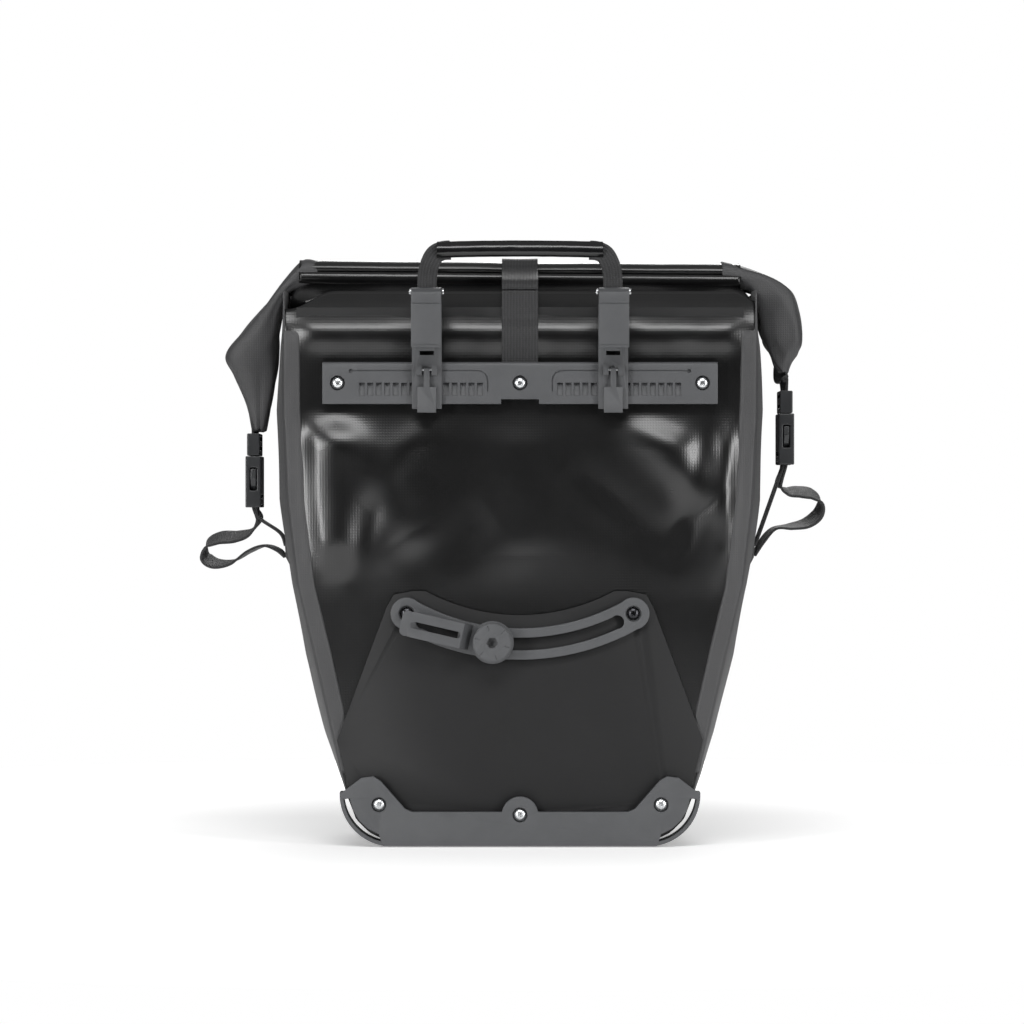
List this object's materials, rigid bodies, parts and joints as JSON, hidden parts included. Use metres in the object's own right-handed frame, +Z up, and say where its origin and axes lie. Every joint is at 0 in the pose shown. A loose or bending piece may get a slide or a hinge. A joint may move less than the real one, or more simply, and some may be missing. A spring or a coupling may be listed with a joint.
{
  "type": "pannier_bag",
  "caption": "Roll-top bicycle pannier bag with sprung rack hooks on a toothed rail, a carry handle, a swivelling rack stabiliser, a corner guard and side-release buckles.",
  "frame": {"origin": "The middle of the footprint on the floor plane, at the mount base.", "axes": "+Z is up, the side that hangs on the rack faces -Y, and the rack tube runs along X."},
  "size_m": [0.4421, 0.2142, 0.4147],
  "materials": {
    "gloss_tarpaulin": "glossy coated fabric with a fine weave under the coating",
    "matt_tarpaulin": "matt coated fabric",
    "webbing": "ribbed woven webbing",
    "moulded_plastic": "finely textured moulded plastic",
    "buckle_plastic": "satin moulded plastic",
    "board_plastic": "satin sheet plastic",
    "screw_steel": "bright stainless steel",
    "black_steel": "blackened steel"
  },
  "bodies": {
    "bag": {"back_panel": "gloss_tarpaulin", "front_panel": "gloss_tarpaulin", "left_gusset": "matt_tarpaulin", "right_gusset": "matt_tarpaulin", "floor_panel": "matt_tarpaulin", "back_board": "board_plastic", "floor_board": "board_plastic", "left_seam_strip": "matt_tarpaulin", "right_seam_strip": "matt_tarpaulin", "hook_rail": "moulded_plastic", "rail_screws": "screw_steel", "rail_nuts": "screw_steel", "centre_strap_lower": "webbing", "front_strap_anchor": "webbing", "left_side_strap": "webbing", "right_side_strap": "webbing", "left_strap_anchor": "matt_tarpaulin", "right_strap_anchor": "matt_tarpaulin", "left_buckle_socket": "buckle_plastic", "right_buckle_socket": "buckle_plastic", "front_buckle_socket": "buckle_plastic", "backing_plate": "board_plastic", "arc_rail": "moulded_plastic", "arc_screws": "black_steel", "corner_guard": "moulded_plastic", "guard_screws": "screw_steel"},
    "roll_closure": {"folded_throat": "gloss_tarpaulin", "top_roll": "gloss_tarpaulin", "roll_batten": "board_plastic", "left_ear": "matt_tarpaulin", "right_ear": "matt_tarpaulin", "centre_strap_upper": "webbing", "left_upper_strap": "webbing", "right_upper_strap": "webbing", "left_buckle_plug": "buckle_plastic", "right_buckle_plug": "buckle_plastic", "front_buckle_plug": "buckle_plastic"},
    "left_hook": {"left_hook": "moulded_plastic", "left_lever_pin": "screw_steel", "left_lever_spring": "screw_steel", "left_tab_pin": "screw_steel"},
    "right_hook": {"right_hook": "moulded_plastic", "right_lever_pin": "screw_steel", "right_lever_spring": "screw_steel", "right_tab_pin": "screw_steel"},
    "left_lever": {"left_lever": "moulded_plastic"},
    "right_lever": {"right_lever": "moulded_plastic"},
    "handle": {"handle_webbing": "webbing", "handle_grip": "gloss_tarpaulin"},
    "left_lock_tab": {"left_lock_tab": "moulded_plastic"},
    "right_lock_tab": {"right_lock_tab": "moulded_plastic"},
    "clamp_nut": {"clamp_nut": "screw_steel"},
    "swivel_hook": {"swivel_hook": "moulded_plastic"},
    "clamp_knob": {"clamp_knob": "moulded_plastic"},
    "left_plug_rear_prong": {"left_plug_rear_prong": "buckle_plastic"},
    "left_plug_front_prong": {"left_plug_front_prong": "buckle_plastic"},
    "right_plug_rear_prong": {"right_plug_rear_prong": "buckle_plastic"},
    "right_plug_front_prong": {"right_plug_front_prong": "buckle_plastic"},
    "front_plug_left_prong": {"front_plug_left_prong": "buckle_plastic"},
    "front_plug_right_prong": {"front_plug_right_prong": "buckle_plastic"}
  },
  "joints": [
    {"name": "roll_lift", "type": "slide", "parent": "bag", "child": "roll_closure", "axis": [0, 0, 1], "range_m": [0, 0.12], "deforming": ["left_plug_rear_prong", "left_plug_front_prong", "right_plug_rear_prong", "right_plug_front_prong", "front_plug_left_prong", "front_plug_right_prong"]},
    {"name": "left_hook_slide", "type": "slide", "parent": "bag", "child": "left_hook", "axis": [1, 0, 0], "range_m": [-0.026, 0.026]},
    {"name": "right_hook_slide", "type": "slide", "parent": "bag", "child": "right_hook", "axis": [1, 0, 0], "range_m": [-0.026, 0.026]},
    {"name": "left_lever_pull", "type": "hinge", "parent": "left_hook", "child": "left_lever", "pos_m": [-0.064, -0.08799, 0.38046], "axis": [1, 0, 0], "range_deg": [0, 30], "stiffness_Nm_per_rad": 0.04, "springref_deg": -14.32},
    {"name": "left_tab_flip", "type": "hinge", "parent": "left_hook", "child": "left_lock_tab", "pos_m": [-0.064, -0.0832, 0.3275], "axis": [-1, 0, 0], "range_deg": [0, 40]},
    {"name": "right_lever_pull", "type": "hinge", "parent": "right_hook", "child": "right_lever", "pos_m": [0.064, -0.08799, 0.38046], "axis": [1, 0, 0], "range_deg": [0, 30], "stiffness_Nm_per_rad": 0.04, "springref_deg": -14.32},
    {"name": "right_tab_flip", "type": "hinge", "parent": "right_hook", "child": "right_lock_tab", "pos_m": [0.064, -0.0832, 0.3275], "axis": [-1, 0, 0], "range_deg": [0, 40]},
    {"name": "handle_flop", "type": "hinge", "parent": "left_lever", "child": "handle", "pos_m": [-0.064, -0.07699, 0.37896], "axis": [1, 0, 0], "range_deg": [0, 36]},
    {"name": "stabiliser_slide", "type": "hinge", "parent": "bag", "child": "clamp_nut", "pos_m": [0, -0.075, 0.295], "axis": [0, 1, 0], "range_deg": [-31.5, 17.5]},
    {"name": "stabiliser_swivel", "type": "hinge", "parent": "clamp_nut", "child": "swivel_hook", "pos_m": [-0.01901, -0.08, 0.14016], "axis": [0, 1, 0], "continuous": true},
    {"name": "knob_turn", "type": "hinge", "parent": "clamp_nut", "child": "clamp_knob", "pos_m": [-0.01901, -0.08, 0.14016], "axis": [0, 1, 0], "continuous": true},
    {"name": "left_plug_rear_prong_squeeze", "type": "hinge", "parent": "roll_closure", "child": "left_plug_rear_prong", "pos_m": [-0.187, -0.0177, 0.2716], "axis": [1, 0, 0], "range_deg": [0, 13], "stiffness_Nm_per_rad": 0.05},
    {"name": "left_plug_front_prong_squeeze", "type": "hinge", "parent": "roll_closure", "child": "left_plug_front_prong", "pos_m": [-0.187, 0.0017, 0.2716], "axis": [-1, 0, 0], "range_deg": [0, 13], "stiffness_Nm_per_rad": 0.05},
    {"name": "right_plug_rear_prong_squeeze", "type": "hinge", "parent": "roll_closure", "child": "right_plug_rear_prong", "pos_m": [0.187, -0.0177, 0.3016], "axis": [1, 0, 0], "range_deg": [0, 13], "stiffness_Nm_per_rad": 0.05},
    {"name": "right_plug_front_prong_squeeze", "type": "hinge", "parent": "roll_closure", "child": "right_plug_front_prong", "pos_m": [0.187, 0.0017, 0.3016], "axis": [-1, 0, 0], "range_deg": [0, 13], "stiffness_Nm_per_rad": 0.05},
    {"name": "front_plug_left_prong_squeeze", "type": "hinge", "parent": "roll_closure", "child": "front_plug_left_prong", "pos_m": [-0.0097, 0.1027, 0.3026], "axis": [0, -1, 0], "range_deg": [0, 13], "stiffness_Nm_per_rad": 0.05},
    {"name": "front_plug_right_prong_squeeze", "type": "hinge", "parent": "roll_closure", "child": "front_plug_right_prong", "pos_m": [0.0097, 0.1027, 0.3026], "axis": [0, 1, 0], "range_deg": [0, 13], "stiffness_Nm_per_rad": 0.05}
  ],
  "couplings": [
    {"joint": "right_hook_slide", "follows": "left_hook_slide", "ratio": 1},
    {"joint": "right_lever_pull", "follows": "left_lever_pull", "ratio": 1},
    {"joint": "left_plug_front_prong_squeeze", "follows": "left_plug_rear_prong_squeeze", "ratio": 1},
    {"joint": "right_plug_front_prong_squeeze", "follows": "right_plug_rear_prong_squeeze", "ratio": 1},
    {"joint": "front_plug_right_prong_squeeze", "follows": "front_plug_left_prong_squeeze", "ratio": 1}
  ]
}
